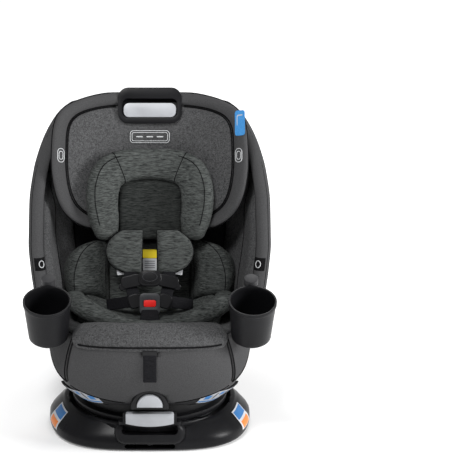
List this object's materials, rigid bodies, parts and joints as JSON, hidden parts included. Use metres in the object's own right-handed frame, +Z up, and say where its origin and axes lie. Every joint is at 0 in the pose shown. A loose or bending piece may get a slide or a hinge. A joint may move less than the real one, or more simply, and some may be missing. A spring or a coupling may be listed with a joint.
{
  "type": "convertible car seat",
  "caption": "Convertible child car seat: bucket seat with infant insert, harness, adjustable headrest and cup holders, swivelling and reclining on a low base.",
  "frame": {"origin": "on the floor, in the base's flat underside, under the swivel axis", "axes": "+Z up, -Y the way the seat faces at rest, +X to the viewer's right when looking at its front"},
  "size_m": [0.504, 0.5881, 0.6851],
  "materials": {
    "base_plastic": "black moulded plastic with a low gloss",
    "rubber_pads": "soft grip rubber",
    "steel_parts": "plain zinc-plated steel",
    "bushing_plastic": "natural bearing plastic",
    "silver_plastic": "light silver-grey moulded plastic",
    "blue_plastic": "blue moulded plastic",
    "shell_plastic": "black fine-grained moulded plastic",
    "frame_plastic": "charcoal moulded plastic",
    "grey_cover": "smooth mid-grey coated knit",
    "heather_cover": "charcoal heather weave",
    "insert_fabric": "grey slub heather with fine horizontal streaks",
    "webbing": "black woven webbing",
    "buckle_plastic": "black moulded plastic",
    "red_button": "red moulded plastic",
    "cup_plastic": "matt black moulded plastic",
    "bracket_plastic": "light grey moulded plastic"
  },
  "bodies": {
    "base": {"base_pan": "base_plastic", "base_shell": "base_plastic", "grip_pads": "rubber_pads", "base_screws": "steel_parts", "bearing_lower_race": "steel_parts", "bearing_balls": "steel_parts", "spindle_bushing": "bushing_plastic", "rotation_handle_housing": "base_plastic", "rotation_handle_springs": "steel_parts", "lockoff_hinge_pin": "steel_parts"},
    "rotation_handle": {"rotation_handle": "silver_plastic"},
    "rotation_lock_pin": {"rotation_lock_pin": "steel_parts"},
    "belt_lockoff": {"belt_lockoff_arm": "blue_plastic"},
    "turntable": {"turntable_disc": "shell_plastic", "bearing_upper_race": "steel_parts", "swivel_spindle": "steel_parts", "recline_cradle": "shell_plastic", "cradle_bolts": "steel_parts"},
    "recline_handle": {"recline_handle": "silver_plastic", "recline_link_rod": "steel_parts"},
    "recline_latch": {"recline_latch": "steel_parts"},
    "buckle_button": {"buckle_button": "red_button"},
    "chest_clip_button": {"chest_clip_button": "buckle_plastic"},
    "adjuster_button": {"adjuster_button": "shell_plastic"},
    "cup_holder_left": {"cup_holder_left": "cup_plastic"},
    "cup_holder_right": {"cup_holder_right": "cup_plastic"},
    "headrest": {"headrest_frame": "frame_plastic", "headrest_rods": "steel_parts", "headrest_cover": "grey_cover", "infant_head_support": "insert_fabric"},
    "headrest_lever": {"headrest_lever": "silver_plastic"},
    "headrest_lock_bar": {"headrest_lock_bar": "steel_parts"},
    "seat": {"seat_shell_lower": "shell_plastic", "seat_shell_back": "shell_plastic", "back_cover": "shell_plastic", "recline_runners": "steel_parts", "recline_bezel": "shell_plastic", "front_panel": "grey_cover", "side_cover_left": "grey_cover", "side_cover_right": "grey_cover", "wing_cover_left": "grey_cover", "wing_cover_right": "grey_cover", "side_bolster_left": "heather_cover", "side_bolster_right": "heather_cover", "seat_cushion": "heather_cover", "thigh_roll": "heather_cover", "back_pad": "heather_cover", "headrest_guide_tubes": "shell_plastic", "harness_splitter_plate": "steel_parts", "infant_insert": "insert_fabric", "buckle_housing": "buckle_plastic", "crotch_strap": "webbing", "buckle_tongues": "steel_parts", "hip_straps": "webbing", "shoulder_straps": "webbing", "harness_pad_left": "insert_fabric", "harness_pad_right": "insert_fabric", "chest_clip": "buckle_plastic", "adjuster_strap": "webbing", "cup_brackets": "bracket_plastic"}
  },
  "joints": [
    {"name": "seat_swivel", "type": "hinge", "parent": "base", "child": "turntable", "pos_m": [0, 0, 0.06], "axis": [0, 0, 1], "continuous": true},
    {"name": "seat_recline", "type": "hinge", "parent": "turntable", "child": "seat", "pos_m": [0, -0.06, 0.43], "axis": [-1, 0, 0], "range_deg": [0, 11]},
    {"name": "headrest_height", "type": "slide", "parent": "seat", "child": "headrest", "axis": [0, 0.3584, 0.9336], "range_m": [0, 0.15]},
    {"name": "headrest_lever_squeeze", "type": "slide", "parent": "headrest", "child": "headrest_lever", "axis": [0, 0.3584, 0.9336], "range_m": [0, 0.008], "stiffness_N_per_m": 400, "springref_m": -0.002},
    {"name": "headrest_lock_travel", "type": "slide", "parent": "headrest", "child": "headrest_lock_bar", "axis": [0, -0.9336, 0.3584], "range_m": [0, 0.006]},
    {"name": "rotation_handle_pull", "type": "slide", "parent": "base", "child": "rotation_handle", "axis": [0, -1, 0], "range_m": [0, 0.007], "stiffness_N_per_m": 500, "springref_m": -0.002},
    {"name": "rotation_lock_travel", "type": "slide", "parent": "base", "child": "rotation_lock_pin", "axis": [0, 0, -1], "range_m": [0, 0.007]},
    {"name": "belt_lockoff_swing", "type": "hinge", "parent": "base", "child": "belt_lockoff", "pos_m": [-0.18, 0.256, 0.172], "axis": [1, 0, 0], "range_deg": [0, 65]},
    {"name": "recline_handle_pull", "type": "slide", "parent": "seat", "child": "recline_handle", "axis": [0, -1, 0], "range_m": [0, 0.012], "stiffness_N_per_m": 500, "springref_m": -0.002},
    {"name": "recline_latch_travel", "type": "slide", "parent": "seat", "child": "recline_latch", "axis": [0, 0, 1], "range_m": [0, 0.008]},
    {"name": "buckle_button_press", "type": "slide", "parent": "seat", "child": "buckle_button", "axis": [0, 0.9336, -0.3584], "range_m": [0, 0.004], "stiffness_N_per_m": 600, "springref_m": -0.001},
    {"name": "chest_clip_button_press", "type": "slide", "parent": "seat", "child": "chest_clip_button", "axis": [0, 0.9336, -0.3584], "range_m": [0, 0.003], "stiffness_N_per_m": 600, "springref_m": -0.001},
    {"name": "harness_adjuster_press", "type": "slide", "parent": "seat", "child": "adjuster_button", "axis": [0, 1, 0], "range_m": [0, 0.005], "stiffness_N_per_m": 600, "springref_m": -0.001},
    {"name": "cup_holder_left_lift", "type": "slide", "parent": "seat", "child": "cup_holder_left", "axis": [0, -0.342, 0.9397], "range_m": [0, 0.06]},
    {"name": "cup_holder_right_lift", "type": "slide", "parent": "seat", "child": "cup_holder_right", "axis": [0, -0.342, 0.9397], "range_m": [0, 0.06]}
  ],
  "couplings": [
    {"joint": "headrest_lock_travel", "follows": "headrest_lever_squeeze", "ratio": 0.75},
    {"joint": "rotation_lock_travel", "follows": "rotation_handle_pull", "ratio": 1},
    {"joint": "recline_latch_travel", "follows": "recline_handle_pull", "ratio": 0.66}
  ]
}
